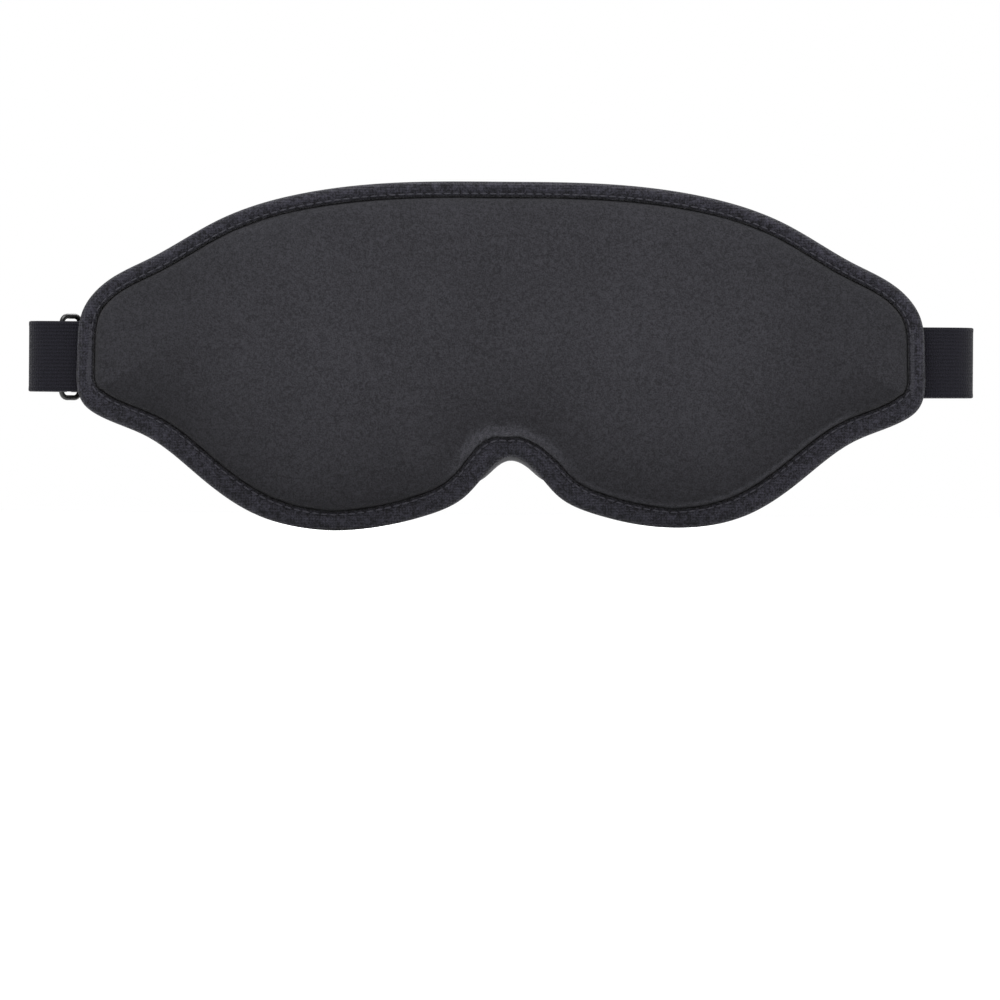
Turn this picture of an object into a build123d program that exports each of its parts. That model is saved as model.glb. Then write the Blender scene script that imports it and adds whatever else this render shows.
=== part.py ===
from build123d import *
from math import cos, radians, sin
import os

os.makedirs("parts", exist_ok=True)

# Sleep eye mask with a contoured pad, a nose flap and an adjustable elastic head strap.
# Millimetres. +X across the mask, +Z up, the wearer's face is on the +Y side.
# The rear of the pad is at y = 0 and the strap's centre line is at z = 0.

# overall
mask_width = 240.0
mask_height = 98.3

# layers, from the front to the face
fabric = 0.8
front_foam_t = 3.0
lining_t = 0.8
pad_t = 11.0

# bound edge
tape = 0.9
tape_w = 5.4
thread = 0.25

# pad
pad_share = 0.829
pad_roll = 4.9
cup_depth = 8.0
cup_flare = 5.0
egg_x = 44.4
egg_z = 1.5
egg_len = 45.5
egg_h = 34.3
groove_share = 0.395
groove_w = 9.5
groove_depth = 3.0
groove_z_share = 0.173

# nose flap
flap_share = 0.6
flap_fold_share = -0.34
flap_top_share = -0.21
flap_t = 0.8
flap_gap = 0.35

# strap
strap_h = 20.0
strap_t = 1.0
stub_reach = 14.0
strap_root_gap = 0.4
sewn_in = 4.5
fold_r = 4.5
run_angle = 40.0
back_r = 82.0
tack_w = 2.0

# ring and slider
wire_d = 1.5
bar_gap = 0.1
ring_pitch = 6.5
ring_clear = 1.6
ring_at = 8.0
tab_sewn = 2.8
bight_r = 2.3
slider_at = 58.0
slider_bar_r = 0.7
slider_len = 14.0
slider_side = 2.0
slider_t = 1.2
slider_gap = 0.3
slider_rail = 1.8
slider_wide = 0.5

# derived
half = mask_width / 2
pad_half = half * pad_share
flap_half = half * flap_share
flap_fold_z = mask_height * flap_fold_share
flap_top_z = mask_height * flap_top_share
groove_len = mask_height * groove_share
groove_z = mask_height * groove_z_share
strap_reach = half + stub_reach
y_lining = -(fabric + pad_t)
y_core = y_lining - lining_t
y_front = y_core - front_foam_t - fabric
y_bind_back = y_lining + fabric + tape
y_bind_front = y_core - fabric - tape
y_strap = y_bind_back + strap_t / 2
band_off = bight_r - (wire_d / 2 + bar_gap + strap_t / 2)
band_fold_r = fold_r + band_off / (1 + cos(radians(run_angle)) - sin(radians(run_angle)))
tab_bight_r = wire_d / 2 + bar_gap + strap_t / 2
run_x, run_y = cos(radians(run_angle)), sin(radians(run_angle))
fold_x = strap_reach - strap_t / 2 - fold_r
run_start_x = -(fold_x + fold_r * run_y)
run_start_y = y_strap + fold_r + fold_r * run_x
ring_far = ring_at + ring_pitch
ring_half_h = strap_h / 2 + ring_clear
loop_r = slider_bar_r + bar_gap + strap_t / 2
slider_bar_n = band_off - strap_t / 2 - slider_gap - loop_r - strap_t / 2
loop_inner = slider_bar_n - loop_r
loop_end = slider_at - 8.5
sewn_pitch = strap_t + 0.1


def rear(y):
    """A plane facing the front at depth y, so that extruding goes towards the front."""
    return Plane.XZ.offset(-y)


def run_plane(z):
    """The strap's straight run on the ring side: local x runs from the fold, y outwards."""
    return Plane(origin=(run_start_x, run_start_y, z), x_dir=(run_x, run_y, 0), z_dir=(0, 0, 1))


def silhouette_points():
    """The silhouette's own points: shallow arch, blunt ends, two lobes and a notch."""
    top = [(0, 0.512), (0.264, 0.506), (0.472, 0.474), (0.667, 0.397), (0.83, 0.284), (0.935, 0.213)]
    end = [(0.986, 0.137), (1.0, 0.0), (0.984, -0.137)]
    low = [(0.935, -0.178), (0.835, -0.229), (0.711, -0.342), (0.581, -0.446), (0.39, -0.488)]
    notch = [(0.205, -0.450), (0.114, -0.399), (0.052, -0.318), (0, -0.281)]
    pts = [(u * half, v * mask_height) for u, v in top + end + low + notch]
    return pts + [(-x, z) for x, z in reversed(pts[1:-1])]


silhouette = Spline(*silhouette_points(), periodic=True)


def outline(inset):
    """The silhouette drawn again through its own points, each moved inwards square to it."""
    inner = []
    for point in silhouette_points():
        along = silhouette.tangent_at(Vector(*point))
        inner.append((point[0] + along.Y * inset, point[1] - along.X * inset))
    with BuildSketch() as shape:
        with BuildLine():
            Spline(*inner, periodic=True)
        make_face()
    return shape.sketch


def pad_limit(inset):
    """The region of the thick pad: rounded ends, open above and below."""
    wide = pad_half - inset
    h = mask_height
    with BuildSketch() as shape:
        with BuildLine():
            end = ThreePointArc((wide - 8.0, -0.193 * h), (wide, 0.027 * h), (wide - 6.5, 0.252 * h))
            top = Line(end @ 1, (wide - 34.0, 0.63 * h))
            low = Line(end @ 0, (wide - 38.0, -0.59 * h))
            Line(top @ 1, (0, 0.63 * h))
            Line(low @ 1, (0, -0.59 * h))
            mirror(about=Plane.YZ)
        make_face()
    return shape.sketch


def egg(x, grow):
    """An egg with its blunt end towards the nose and its narrow end towards the wing."""
    upper = [(-0.908, 0.44), (-0.46, 0.761), (-0.11, 0.945), (0.234, 1.0), (0.557, 0.95), (0.79, 0.76)]
    blunt = [(0.945, 0.47), (1.0, 0.06), (0.938, -0.37), (0.71, -0.735)]
    lower = [(0.373, -0.957), (0.096, -1.0), (-0.227, -0.945), (-0.481, -0.798), (-0.73, -0.5), (-0.94, -0.19)]
    a = egg_len / 2 + grow
    b = egg_h / 2 + grow
    s = -a if x > 0 else a
    around = [(-1.0, 0.13)] + upper + blunt + lower
    with BuildSketch() as shape:
        with BuildLine():
            Spline(*[(x + s * u, egg_z + b * v) for u, v in around], periodic=True)
        make_face()
    return shape.sketch


def groove(grow):
    """The upright spindle pressed into the middle of the pad."""
    with BuildSketch() as shape:
        with BuildLine():
            low = (0, groove_z - groove_len / 2 - grow)
            high = (0, groove_z + groove_len / 2 + grow)
            wide = groove_w / 2 + grow
            ThreePointArc(low, (wide, groove_z), high)
            ThreePointArc(high, (-wide, groove_z), low)
        make_face()
    return shape.sketch


def tack_box(side, depth_front, depth_back):
    """The sewn column at a strap end: it goes through every layer."""
    x = side * (half - sewn_in + tack_w / 2 + 0.2)
    with BuildSketch(rear(depth_back)) as shape:
        with Locations((x, 0)):
            Rectangle(tack_w, strap_h - 1.5)
    return extrude(shape.sketch, amount=depth_back - depth_front)


tacks = [tack_box(s, y_bind_front - thread, y_strap + strap_t / 2 + thread) for s in (-1, 1)]

# outer cover: a flange in the bound edge and a raised, round-edged front
with BuildPart() as front_foam:
    with BuildSketch(rear(y_core)):
        add(outline(tape_w + 0.6 + fabric))
    extrude(amount=front_foam_t)
    fillet(front_foam.faces().sort_by(Axis.Y)[0].edges(), radius=1.6)
front_foam.part.label = "front_foam"

with BuildPart() as outer_cover:
    with BuildSketch(rear(y_core)):
        add(outline(tape_w + 0.6))
    extrude(amount=front_foam_t + fabric)
    fillet(outer_cover.faces().sort_by(Axis.Y)[0].edges(), radius=1.6 + fabric)
    with BuildSketch(rear(y_core)):
        add(outline(tape))
    extrude(amount=fabric)
    add(front_foam.part, mode=Mode.SUBTRACT)
    add(tacks, mode=Mode.SUBTRACT)
outer_cover.part.label = "outer_cover"

# lining between the front foam and the pad; it shows on the wings
with BuildPart() as inner_lining:
    with BuildSketch(rear(y_lining)):
        add(outline(tape))
    extrude(amount=lining_t)
    add(tacks, mode=Mode.SUBTRACT)
inner_lining.part.label = "inner_lining"


def pad_form(inset, groove_grow):
    """The pad's solid: round rear edge, two flared eye cups and the middle groove."""
    with BuildPart() as form:
        with BuildSketch(rear(-inset)):
            add(outline(tape_w + 0.2 + inset))
            add(pad_limit(inset), mode=Mode.INTERSECT)
        extrude(amount=-y_lining - inset)
        fillet(form.faces().sort_by(Axis.Y)[-1].edges(), radius=pad_roll - inset)
        for x in (-egg_x, egg_x):
            with BuildSketch(rear(-cup_depth - inset)):
                add(egg(x, inset))
            with BuildSketch(rear(1.0)):
                add(egg(x, cup_flare + inset + 0.6))
            loft(mode=Mode.SUBTRACT)
        with BuildSketch(rear(0.5)):
            add(groove(groove_grow))
        extrude(amount=groove_depth + 0.5 + groove_grow, mode=Mode.SUBTRACT)
    return form.part


pad_outer = pad_form(0, 0)
pad_inner = pad_form(fabric, fabric)

with BuildPart() as memory_foam_pad:
    add(pad_inner)
memory_foam_pad.part.label = "memory_foam_pad"

with BuildPart() as pad_cover:
    add(pad_outer)
    with BuildSketch(rear(y_lining + fabric)):
        add(outline(tape))
        add(pad_limit(0), mode=Mode.INTERSECT)
    extrude(amount=fabric)
    add(pad_inner, mode=Mode.SUBTRACT)
    for side_x in (-egg_x, egg_x):
        with BuildSketch(rear(-cup_depth)):
            add(egg(side_x, 0))
        extrude(amount=fabric, mode=Mode.SUBTRACT)
pad_cover.part.label = "pad_cover"

with BuildPart() as eye_patch_left:
    with BuildSketch(rear(-cup_depth)):
        add(egg(-egg_x, 0))
    extrude(amount=fabric)
eye_patch_left.part.label = "eye_patch_left"

with BuildPart() as eye_patch_right:
    with BuildSketch(rear(-cup_depth)):
        add(egg(egg_x, 0))
    extrude(amount=fabric)
eye_patch_right.part.label = "eye_patch_right"

# bound edge: tape folded round the flanges
with BuildPart() as edge_binding:
    with BuildSketch(rear(y_bind_back)):
        add(outline(0))
        add(outline(tape_w), mode=Mode.SUBTRACT)
    extrude(amount=y_bind_back - y_bind_front)
    with BuildSketch(rear(y_lining)):
        add(outline(tape))
    extrude(amount=lining_t + fabric, mode=Mode.SUBTRACT)
    with BuildSketch(rear(y_lining + fabric)):
        add(outline(tape))
        add(pad_limit(0), mode=Mode.INTERSECT)
    extrude(amount=fabric, mode=Mode.SUBTRACT)
    add(tacks, mode=Mode.SUBTRACT)
edge_binding.part.label = "edge_binding"


def stitch_ring(y_from):
    """A raised row of thread along the tape's inner edge."""
    with BuildPart() as ring:
        with BuildSketch(rear(y_from)):
            add(outline(tape_w - 1.2))
            add(outline(tape_w - 0.7), mode=Mode.SUBTRACT)
        extrude(amount=thread)
        add(tacks, mode=Mode.SUBTRACT)
    return ring.part


with BuildPart() as binding_stitch_front:
    add(stitch_ring(y_bind_front))
binding_stitch_front.part.label = "binding_stitch_front"

# strap ends sewn on the back of the bound edge
with BuildPart() as strap_end_left:
    with BuildSketch(rear(y_strap + strap_t / 2)):
        with Locations((-half + sewn_in / 2, 0)):
            Rectangle(sewn_in, strap_h)
    extrude(amount=strap_t)
    add(tacks, mode=Mode.SUBTRACT)
strap_end_left.part.label = "strap_end_left"

with BuildPart() as strap_end_right:
    with BuildSketch(rear(y_strap + strap_t / 2)):
        with Locations((half - sewn_in / 2, 0)):
            Rectangle(sewn_in, strap_h)
    extrude(amount=strap_t)
    add(tacks, mode=Mode.SUBTRACT)
strap_end_right.part.label = "strap_end_right"

with BuildPart() as binding_stitch_back:
    add(stitch_ring(y_bind_back + thread))
    add(strap_end_left.part, mode=Mode.SUBTRACT)
    add(strap_end_right.part, mode=Mode.SUBTRACT)
binding_stitch_back.part.label = "binding_stitch_back"

with BuildPart() as bar_tack_left:
    add(tacks[0])
bar_tack_left.part.label = "bar_tack_left"

with BuildPart() as bar_tack_right:
    add(tacks[1])
bar_tack_right.part.label = "bar_tack_right"

# nose flap: a sewn base on both lobes and a free upper part that folds down
y_flap = flap_gap + flap_t
with BuildPart() as nose_flap:
    with BuildSketch(rear(y_flap)):
        with BuildLine():
            arch = ThreePointArc((-flap_half, flap_fold_z), (0, flap_top_z), (flap_half, flap_fold_z))
            Line(arch @ 1, arch @ 0)
        make_face()
    extrude(amount=flap_t)
nose_flap.part.label = "nose_flap"


def flap_base(side):
    """The lens of flap fabric sewn flat on one lobe, below the fold."""
    with BuildPart() as base:
        with BuildSketch(rear(flap_t)):
            add(outline(tape_w + 1.0))
            with Locations((side * flap_half / 2, flap_fold_z - flap_t - 20.0)):
                Rectangle(flap_half - 4.0, 40.0, mode=Mode.INTERSECT)
        extrude(amount=flap_t)
    return base.part


with BuildPart() as nose_flap_base_left:
    add(flap_base(-1))
nose_flap_base_left.part.label = "nose_flap_base_left"

with BuildPart() as nose_flap_base_right:
    add(flap_base(1))
nose_flap_base_right.part.label = "nose_flap_base_right"

# elastic band: from the far root round the head, through the slider, round the ring
with BuildPart() as strap_band:
    with BuildSketch(Plane.XY.offset(-strap_h / 2)):
        with BuildLine():
            band_x = strap_reach - strap_t / 2 - band_fold_r
            root = Line((half + strap_root_gap, y_strap), (band_x, y_strap))
            fold = JernArc(start=root @ 1, tangent=(1, 0), radius=band_fold_r, arc_size=180 - run_angle)
            side_run = (band_x + (band_fold_r - back_r) * run_y) / run_x
            far_run = PolarLine(start=fold @ 1, length=side_run, angle=180 - run_angle)
            back = JernArc(start=far_run @ 1, tangent=far_run % 1, radius=back_r, arc_size=2 * run_angle)
            along = ((back @ 1).X - run_start_x + band_off * run_y) / run_x
            near_run = PolarLine(start=back @ 1, length=along - ring_far, angle=180 + run_angle)
            JernArc(start=near_run @ 1, tangent=near_run % 1, radius=bight_r, arc_size=180)
        trace(line_width=strap_t)
    extrude(amount=strap_h)
strap_band.part.label = "strap_band"

# return layer of the band, from the ring back to the slider
with BuildPart() as strap_return:
    with BuildSketch(run_plane(-strap_h / 2)):
        with BuildLine():
            Line((ring_far + 0.05, band_off - 2 * bight_r), (loop_end - strap_root_gap, loop_inner))
        trace(line_width=strap_t)
    extrude(amount=strap_h)
strap_return.part.label = "strap_return"


def thread_column(t_from, n_low):
    """A sewn column through two layers of elastic."""
    with BuildPart() as column:
        with BuildSketch(run_plane(-strap_h / 2 + 0.75)):
            with Locations((t_from + tack_w / 2, n_low + strap_t)):
                Rectangle(tack_w, 2 * strap_t + 2 * thread)
        extrude(amount=strap_h - 1.5)
    return column.part


# short tab on the ring side: out from the mask, folded back, then round the ring's first bar
with BuildPart() as tab_bar_tack:
    add(thread_column(tab_sewn - tack_w - 0.3, -1.5 * strap_t))
tab_bar_tack.part.label = "tab_bar_tack"

with BuildPart() as strap_tab:
    with BuildSketch(Plane.XY.offset(-strap_h / 2)):
        with BuildLine():
            root = Line((-half - strap_root_gap, y_strap), (-fold_x, y_strap))
            JernArc(start=root @ 1, tangent=(-1, 0), radius=fold_r, arc_size=run_angle - 180)
        trace(line_width=strap_t)
    with BuildSketch(run_plane(-strap_h / 2)):
        with BuildLine():
            flat = Line((0, 0), (ring_at, 0))
            bight = JernArc(start=flat @ 1, tangent=(1, 0), radius=tab_bight_r, arc_size=-180)
            slope = Spline(bight @ 1, (tab_sewn, -sewn_pitch), tangents=[(-1, 0), (-1, 0)])
            Line(slope @ 1, (0.2, -sewn_pitch))
        trace(line_width=strap_t)
    extrude(amount=strap_h)
    add(tab_bar_tack.part, mode=Mode.SUBTRACT)
strap_tab.part.label = "strap_tab"

# wire ring between the tab and the band
ring_plane = Plane(
    origin=run_plane(0).from_local_coords((ring_at + ring_pitch / 2, -tab_bight_r, 0)),
    x_dir=(run_x, run_y, 0),
    z_dir=(-run_y, run_x, 0),
)
with BuildPart() as tab_ring:
    with BuildLine(ring_plane) as ring_path:
        w = ring_pitch / 2
        h = ring_half_h
        Polyline((-w, -h), (w, -h), (w, h), (-w, h), close=True)
        fillet(ring_path.vertices(), radius=2.0)
    with BuildSketch(Plane(origin=ring_path.line @ 0, z_dir=ring_path.line % 0)):
        Circle(wire_d / 2)
    sweep()
tab_ring.part.label = "tab_ring"

# slider: a plastic frame over the band, its middle bar set back on the inner side
rail_z = strap_h / 2 + slider_wide + slider_rail / 2
frame_n = band_off + strap_t / 2 + slider_gap + slider_t
slider_plane = Plane(
    origin=run_plane(0).from_local_coords((slider_at, frame_n, 0)),
    x_dir=(run_x, run_y, 0),
    z_dir=(-run_y, run_x, 0),
)
with BuildPart() as strap_slider:
    with BuildSketch(slider_plane):
        RectangleRounded(slider_len, 2 * rail_z + slider_rail, 2.0)
        Rectangle(slider_len - 2 * slider_side, 2 * rail_z - slider_rail, mode=Mode.SUBTRACT)
    extrude(amount=-slider_t)
    with BuildSketch(slider_plane):
        with Locations((0, -rail_z), (0, rail_z)):
            Rectangle(slider_len / 2, slider_rail)
    extrude(amount=-(frame_n - slider_bar_n + slider_bar_r))
    with BuildSketch(run_plane(-rail_z)):
        with Locations((slider_at, slider_bar_n)):
            Circle(slider_bar_r)
    extrude(amount=2 * rail_z)
strap_slider.part.label = "strap_slider"

# end of the band sewn round the slider's middle bar
with BuildPart() as slider_bar_tack:
    add(thread_column(loop_end + 0.3, loop_inner - strap_t / 2))
slider_bar_tack.part.label = "slider_bar_tack"

with BuildPart() as slider_loop:
    with BuildSketch(run_plane(-strap_h / 2)):
        with BuildLine():
            flat = Line((loop_end, loop_inner), (slider_at, loop_inner))
            bight = JernArc(start=flat @ 1, tangent=(1, 0), radius=loop_r, arc_size=180)
            sewn_to = (loop_end + tab_sewn, loop_inner + sewn_pitch)
            slope = Spline(bight @ 1, sewn_to, tangents=[(-1, 0), (-1, 0)])
            Line(slope @ 1, (loop_end, loop_inner + sewn_pitch))
        trace(line_width=strap_t)
    extrude(amount=strap_h)
    add(slider_bar_tack.part, mode=Mode.SUBTRACT)
slider_loop.part.label = "slider_loop"

for piece in (
    outer_cover,
    front_foam,
    inner_lining,
    memory_foam_pad,
    pad_cover,
    eye_patch_left,
    eye_patch_right,
    edge_binding,
    binding_stitch_front,
    binding_stitch_back,
    strap_end_left,
    strap_end_right,
    bar_tack_left,
    bar_tack_right,
    nose_flap,
    nose_flap_base_left,
    nose_flap_base_right,
    strap_band,
    strap_return,
    strap_tab,
    tab_bar_tack,
    tab_ring,
    strap_slider,
    slider_loop,
    slider_bar_tack,
):
    export_step(piece.part, "parts/" + piece.part.label + ".step")
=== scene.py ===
import math

import bmesh
import bpy
import numpy as np
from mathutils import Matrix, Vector


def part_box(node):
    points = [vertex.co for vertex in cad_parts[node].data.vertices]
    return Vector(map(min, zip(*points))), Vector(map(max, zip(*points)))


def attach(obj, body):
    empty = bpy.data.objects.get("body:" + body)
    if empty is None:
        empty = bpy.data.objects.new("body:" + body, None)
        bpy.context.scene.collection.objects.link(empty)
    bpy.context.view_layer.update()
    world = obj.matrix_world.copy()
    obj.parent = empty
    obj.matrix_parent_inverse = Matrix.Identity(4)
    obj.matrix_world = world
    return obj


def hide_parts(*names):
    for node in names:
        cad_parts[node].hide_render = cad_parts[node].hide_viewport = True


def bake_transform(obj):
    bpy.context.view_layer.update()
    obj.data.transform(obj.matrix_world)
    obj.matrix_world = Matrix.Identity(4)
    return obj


# Sleep eye mask. Shapes are worked out in millimetres and turned to metres as each mesh is made.
# The front looks along -Y, the wearer's face is on the +Y side, and the strap loop lies behind.

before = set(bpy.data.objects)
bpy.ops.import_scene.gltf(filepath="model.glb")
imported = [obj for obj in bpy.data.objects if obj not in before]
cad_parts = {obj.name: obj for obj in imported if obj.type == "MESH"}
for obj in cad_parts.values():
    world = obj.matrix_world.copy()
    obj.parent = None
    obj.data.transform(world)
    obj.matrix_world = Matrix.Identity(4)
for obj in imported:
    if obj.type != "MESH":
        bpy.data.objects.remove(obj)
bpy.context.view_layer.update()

MM = 0.001


def size_of(node):
    """A node's lowest and highest corner in millimetres."""
    low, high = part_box(node)
    return np.array(low) / MM, np.array(high) / MM


body_low, body_high = size_of("edge_binding")
half = 120.0
height = body_high[2] - body_low[2]
y_front_tape = body_low[1]
y_back_tape = body_high[1]
y_lining = size_of("inner_lining")[1][1]
y_core = size_of("inner_lining")[0][1]
y_panel = size_of("outer_cover")[0][1]
strap_low, strap_high = size_of("strap_end_right")
y_strap = (strap_low[1] + strap_high[1]) / 2
strap_h = strap_high[2] - strap_low[2]
strap_t = strap_high[1] - strap_low[1]

# The tape's width on the back, how far in from the outline the pad and the lining start,
# and the middle of each eye patch.
tape_width = 4.9
pad_edge = 5.15
lining_edge = 4.8
eye_x, eye_z = 44.4, 1.5


# ---------------------------------------------------------------- curves and distances


def closed_spline(points, count):
    """Even points along a smooth closed curve through the given points."""
    p = np.array(points, float)
    n = len(p)
    h = np.linalg.norm(np.roll(p, -1, 0) - p, axis=1)
    h0 = np.roll(h, 1)
    a = np.zeros((n, n))
    rhs = 6 * ((np.roll(p, -1, 0) - p) / h[:, None] - (p - np.roll(p, 1, 0)) / h0[:, None])
    for i in range(n):
        a[i, i] = 2 * (h[i] + h0[i])
        a[i, (i + 1) % n] += h[i]
        a[i, i - 1] += h0[i]
    m = np.linalg.solve(a, rhs)
    out = []
    for i in range(n):
        s = np.linspace(0, h[i], 60, endpoint=False)[:, None]
        j = (i + 1) % n
        r = h[i] - s
        out.append(
            (m[i] * r**3 + m[j] * s**3) / (6 * h[i])
            + (p[i] / h[i] - m[i] * h[i] / 6) * r
            + (p[j] / h[i] - m[j] * h[i] / 6) * s
        )
    fine = np.vstack(out)
    fine = np.vstack([fine, fine[:1]])
    run = np.r_[0, np.cumsum(np.linalg.norm(np.diff(fine, axis=0), axis=1))]
    at = np.linspace(0, run[-1], count, endpoint=False)
    return np.c_[np.interp(at, run, fine[:, 0]), np.interp(at, run, fine[:, 1])]


def outward(curve):
    """Outward unit normals of a closed curve that runs clockwise."""
    t = np.roll(curve, -1, 0) - np.roll(curve, 1, 0)
    t /= np.linalg.norm(t, axis=1)[:, None]
    return np.c_[-t[:, 1], t[:, 0]]


def silhouette_points():
    """The mask's outline: shallow arch, blunt ends, two lobes and the nose notch."""
    top = [(0, 0.512), (0.264, 0.506), (0.472, 0.474), (0.667, 0.397), (0.83, 0.284), (0.935, 0.213)]
    end = [(0.986, 0.137), (1.0, 0.0), (0.984, -0.137)]
    low = [(0.935, -0.178), (0.835, -0.229), (0.711, -0.342), (0.581, -0.446), (0.39, -0.488)]
    notch = [(0.205, -0.450), (0.114, -0.399), (0.052, -0.318), (0, -0.281)]
    pts = [(u * half, v * height) for u, v in top + end + low + notch]
    return np.array(pts + [(-x, z) for x, z in reversed(pts[1:-1])])


OUTLINE = closed_spline(silhouette_points(), 1200)
OUTLINE_OUT = outward(OUTLINE)


def inset_outline(inset, count=1200):
    """The outline drawn again through its own points, each moved inwards square to it."""
    pts = silhouette_points()
    near = np.array([np.argmin(((OUTLINE - p) ** 2).sum(1)) for p in pts])
    return closed_spline(pts - OUTLINE_OUT[near] * inset, count)


def depth_inside(points, curve):
    """How far each point lies inside a closed curve (negative outside), and the nearest curve index."""
    points = np.asarray(points, float)
    out = outward(curve)
    best = np.empty(len(points))
    index = np.empty(len(points), int)
    for k in range(0, len(points), 4000):
        part = points[k : k + 4000]
        d2 = ((part[:, None, :] - curve[None, :, :]) ** 2).sum(2)
        i = d2.argmin(1)
        away = part - curve[i]
        side = -(away * out[i]).sum(1)
        best[k : k + 4000] = np.where(side >= 0, 1, -1) * np.sqrt(d2[np.arange(len(part)), i])
        index[k : k + 4000] = i
    return best, index


def egg(x, grow=0.0, count=260):
    """The eye patch's outline: blunt end towards the nose, narrow end towards the wing."""
    low, high = size_of("eye_patch_right" if x > 0 else "eye_patch_left")
    upper = [(-0.908, 0.44), (-0.46, 0.761), (-0.11, 0.945), (0.234, 1.0), (0.557, 0.95), (0.79, 0.76)]
    blunt = [(0.945, 0.47), (1.0, 0.06), (0.938, -0.37), (0.71, -0.735)]
    lower = [(0.373, -0.957), (0.096, -1.0), (-0.227, -0.945), (-0.481, -0.798)]
    narrow = [(-0.73, -0.5), (-0.94, -0.19)]
    a = (high[0] - low[0]) / 2 + grow
    b = (high[2] - low[2]) / 2 + grow
    z = (high[2] + low[2]) / 2
    s = -a if x > 0 else a
    around = [(-1.0, 0.13)] + upper + blunt + lower + narrow
    curve = closed_spline([(x + s * u, z + b * v) for u, v in around], count)
    turning = curve[:, 0] * np.roll(curve[:, 1], -1) - np.roll(curve[:, 0], -1) * curve[:, 1]
    return curve if turning.sum() < 0 else curve[::-1]


def ripple(x, z, size, seed, waves=7):
    """A gentle, repeatable unevenness between about -1 and 1."""
    rng = np.random.default_rng(seed)
    total = np.zeros_like(x, dtype=float)
    for _ in range(waves):
        angle, phase = rng.uniform(0, math.pi), rng.uniform(0, 2 * math.pi)
        k = 2 * math.pi / (size * rng.uniform(0.7, 1.5))
        total += np.sin(k * (x * math.cos(angle) + z * math.sin(angle)) + phase)
    return total / math.sqrt(waves) / 1.4


def smooth(t):
    """An eased step from 0 to 1."""
    t = np.clip(t, 0, 1)
    return t * t * (3 - 2 * t)


def bell(t, width, power=2):
    """1 in the middle, falling away on both sides."""
    return np.exp(-((t / width) ** power))


def soft_min(a, b, k):
    """The lower of two heights, with a rounded change from one to the other."""
    h = np.clip(0.5 + 0.5 * (b - a) / k, 0, 1)
    return b * (1 - h) + a * h - k * h * (1 - h)


# ---------------------------------------------------------------- meshes


def settle(points):
    """The soft mask stands a little unevenly: its notch to one side and one lobe lower than the other."""
    p = np.array(points, float)
    x, z = p[..., 0].copy(), p[..., 2]
    low = smooth((-z - 12) / 20)
    p[..., 0] = x + 3.3 * bell(np.abs(x), 42, 3) * low
    p[..., 2] = z + low * (0.7 * bell(x - 40, 26) - 0.8 * bell(x + 44, 26))
    return p


def piece(name, verts, faces, material, uvs=None, shade=1.0):
    """A smooth-shaded mesh object from points in millimetres; shade is painted light and shade, multiplied
    into its cloth's colour.
    """
    mesh = bpy.data.meshes.new(name)
    mesh.from_pydata((settle(verts) * MM).tolist(), [], [tuple(map(int, f)) for f in faces])
    # The shade attribute holds painted light and shade for the cloth's colour.
    painted_light_and_shade = mesh.attributes.new("shade", "FLOAT", "POINT")
    painted_light_and_shade.data.foreach_set("value", np.broadcast_to(shade, len(mesh.vertices)).astype(np.float32))
    if uvs is not None:
        layer = mesh.uv_layers.new(name="UVMap")
        index = np.empty(len(mesh.loops), int)
        mesh.loops.foreach_get("vertex_index", index)
        layer.data.foreach_set("uv", (np.asarray(uvs)[index] * MM).astype(np.float32).ravel())
    mesh.validate()
    work = bmesh.new()
    work.from_mesh(mesh)
    bmesh.ops.recalc_face_normals(work, faces=work.faces)
    work.to_mesh(mesh)
    work.free()
    mesh.shade_smooth()
    mesh.materials.append(material)
    obj = bpy.data.objects.new(name, mesh)
    bpy.context.collection.objects.link(obj)
    return obj


def grid_faces(rows, cols, first=0, round_rows=False, round_cols=False):
    """Quads of a grid of points stored row by row."""
    faces = []
    for i in range(rows if round_rows else rows - 1):
        for j in range(cols if round_cols else cols - 1):
            a, b = i * cols + j, i * cols + (j + 1) % cols
            c, d = ((i + 1) % rows) * cols + (j + 1) % cols, ((i + 1) % rows) * cols + j
            faces.append((first + a, first + b, first + c, first + d))
    return faces


def solid_between(name, near, far, material, shade=1.0):
    """A closed form between two matching grids of points."""
    rows, cols = near.shape[:2]
    count = rows * cols
    faces = grid_faces(rows, cols) + grid_faces(rows, cols, count)
    ring = [(i, 0) for i in range(rows)] + [(rows - 1, j) for j in range(1, cols)]
    ring += [(i, cols - 1) for i in range(rows - 2, -1, -1)] + [(0, j) for j in range(cols - 2, 0, -1)]
    edge = [i * cols + j for i, j in ring]
    for a, b in zip(edge, edge[1:] + edge[:1]):
        faces.append((a, b, count + b, count + a))
    # The far side is painted darker, as shade between the parts.
    tones = np.r_[np.broadcast_to(shade, count), np.full(count, 0.7)]
    return piece(name, np.vstack([near.reshape(-1, 3), far.reshape(-1, 3)]), faces, material, shade=tones)


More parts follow.
